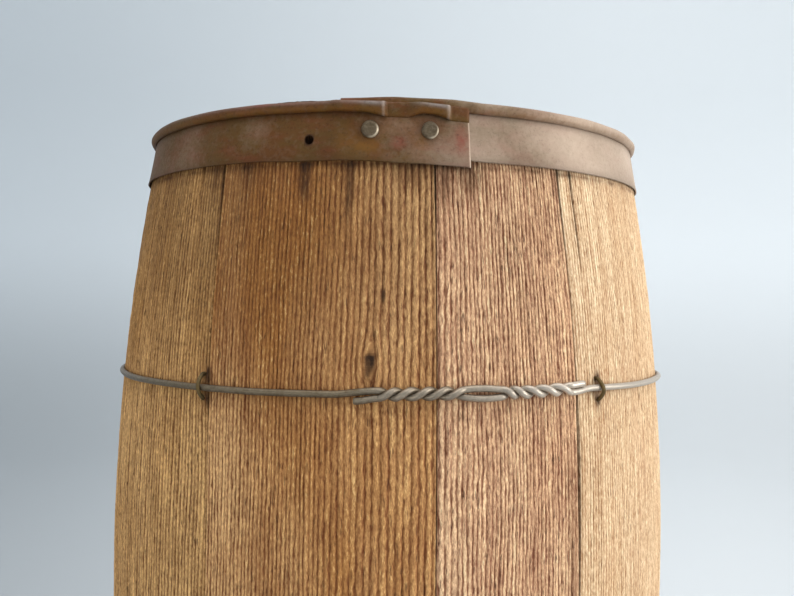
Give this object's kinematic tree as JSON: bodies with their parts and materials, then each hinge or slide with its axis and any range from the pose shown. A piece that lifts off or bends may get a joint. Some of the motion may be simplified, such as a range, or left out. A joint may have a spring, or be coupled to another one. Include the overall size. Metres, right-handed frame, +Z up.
{
  "type": "slack stave keg",
  "caption": "Small closed keg of coarse sawn staves with boarded heads, rolled sheet-steel end hoops and stapled twisted-wire hoops, for dry goods.",
  "frame": {"origin": "centre of the keg's footprint, on the plane that its lower stave ends stand on", "axes": "+Z up along the keg's axis, -Y towards the lap of the top hoop and the twist of the upper wire, +X to the right of them"},
  "size_m": [0.314, 0.3196, 0.457],
  "materials": {
    "warm_stave": "rough sawn, orange brown",
    "pink_stave": "rough sawn, pinkish tan",
    "golden_stave": "sawn, pale golden tan",
    "grey_stave": "sawn, weathered greenish tan",
    "head_board": "planed and weathered",
    "head_dowel": "clean wood",
    "hoop_steel": "rust-stained brown sheet steel",
    "rivet_steel": "dull grey-brown steel",
    "hoop_wire": "dull zinc-grey wire",
    "staple_iron": "dark oxidised iron wire"
  },
  "bodies": {
    "root": {"stave_01": "warm_stave", "stave_02": "pink_stave", "stave_03": "golden_stave", "stave_04": "grey_stave", "stave_05": "warm_stave", "stave_06": "grey_stave", "stave_07": "golden_stave", "stave_08": "pink_stave", "stave_09": "golden_stave", "stave_10": "grey_stave", "top_head_board_1": "head_board", "top_head_board_2": "head_board", "top_head_board_3": "head_board", "top_head_dowel_1": "head_dowel", "top_head_dowel_2": "head_dowel", "top_head_dowel_3": "head_dowel", "top_head_dowel_4": "head_dowel", "top_end_hoop": "hoop_steel", "top_hoop_rivet_1": "rivet_steel", "top_hoop_rivet_2": "rivet_steel", "top_hoop_nail_1": "rivet_steel", "top_hoop_nail_2": "rivet_steel", "upper_wire_hoop": "hoop_wire", "upper_staple_1": "staple_iron", "upper_staple_2": "staple_iron", "upper_staple_3": "staple_iron", "upper_staple_4": "staple_iron", "upper_staple_5": "staple_iron", "bottom_head_board_1": "head_board", "bottom_head_board_2": "head_board", "bottom_head_board_3": "head_board", "bottom_head_dowel_1": "head_dowel", "bottom_head_dowel_2": "head_dowel", "bottom_head_dowel_3": "head_dowel", "bottom_head_dowel_4": "head_dowel", "bottom_end_hoop": "hoop_steel", "bottom_hoop_rivet_1": "rivet_steel", "bottom_hoop_rivet_2": "rivet_steel", "bottom_hoop_nail_1": "rivet_steel", "bottom_hoop_nail_2": "rivet_steel", "bottom_hoop_nail_3": "rivet_steel", "lower_wire_hoop": "hoop_wire", "lower_staple_1": "staple_iron", "lower_staple_2": "staple_iron", "lower_staple_3": "staple_iron", "lower_staple_4": "staple_iron", "lower_staple_5": "staple_iron"}
  },
  "joints": []
}
